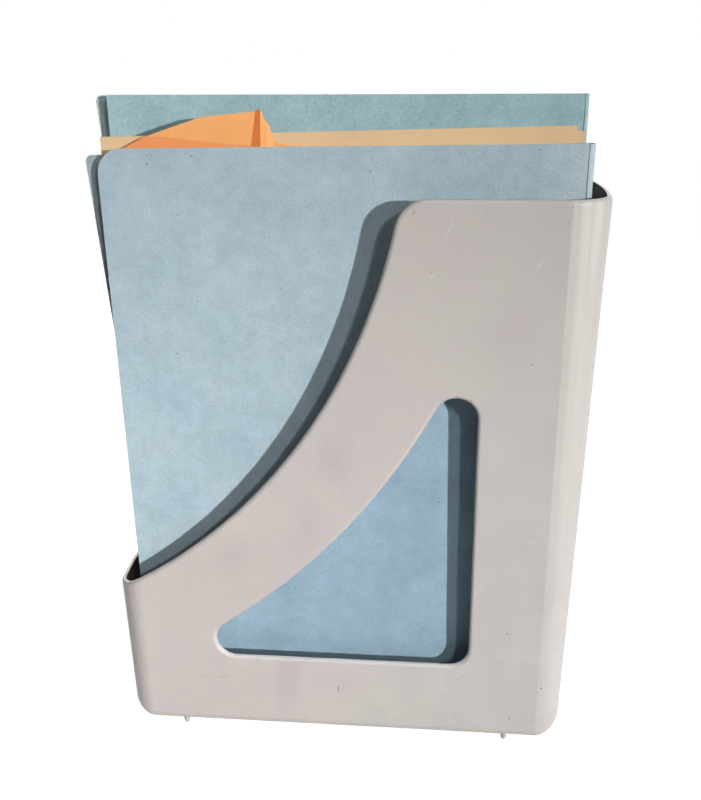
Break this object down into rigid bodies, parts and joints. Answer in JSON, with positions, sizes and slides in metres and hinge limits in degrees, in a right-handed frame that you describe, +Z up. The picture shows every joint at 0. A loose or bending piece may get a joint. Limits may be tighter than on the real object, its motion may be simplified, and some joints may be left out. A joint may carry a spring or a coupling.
{
  "type": "folder holder",
  "caption": "Upright desktop file holder with a swooping side, triangular windows and small moulded feet, filled with board folders, an envelope and a bright sheet.",
  "frame": {"origin": "on the table plane under the middle of the object's bounding box, at the tips of the four feet", "axes": "+Z up, +X along the broad walls towards the tall spine, +Y away from the front broad wall"},
  "size_m": [0.25, 0.1, 0.3354],
  "materials": {
    "shell_plastic": "satin",
    "front_folder_board": "matte",
    "rear_folder_board": "matte",
    "manila_paper": "matte",
    "orange_paper": "matte"
  },
  "bodies": {
    "holder": {"holder_shell": "shell_plastic"},
    "front_folder": {"front_folder_back_cover": "front_folder_board", "front_folder_fold_strip": "front_folder_board"},
    "front_folder_cover": {"front_folder_front_cover": "front_folder_board"},
    "rear_folder": {"rear_folder_back_cover": "rear_folder_board", "rear_folder_fold_strip": "rear_folder_board"},
    "rear_folder_cover": {"rear_folder_front_cover": "rear_folder_board"},
    "envelope": {"manila_envelope": "manila_paper"},
    "sheet": {"orange_sheet": "orange_paper"}
  },
  "joints": [
    {"name": "front_folder_lift", "type": "slide", "parent": "holder", "child": "front_folder", "axis": [0, 0, 1], "range_m": [0, 0.3]},
    {"name": "front_folder_open", "type": "hinge", "parent": "front_folder", "child": "front_folder_cover", "pos_m": [0.112, -0.0263, 0], "axis": [0, 0, 1], "range_deg": [0, 2.4]},
    {"name": "rear_folder_lift", "type": "slide", "parent": "holder", "child": "rear_folder", "axis": [0, 0, 1], "range_m": [0, 0.3]},
    {"name": "rear_folder_open", "type": "hinge", "parent": "rear_folder", "child": "rear_folder_cover", "pos_m": [0.1112, -0.0007, 0], "axis": [0, 0, 1], "range_deg": [0, 2.4]},
    {"name": "manila_envelope_lift", "type": "slide", "parent": "holder", "child": "envelope", "axis": [0, 0, 1], "range_m": [0, 0.3]},
    {"name": "orange_sheet_lift", "type": "slide", "parent": "holder", "child": "sheet", "axis": [0, 0, 1], "range_m": [0, 0.3]}
  ]
}
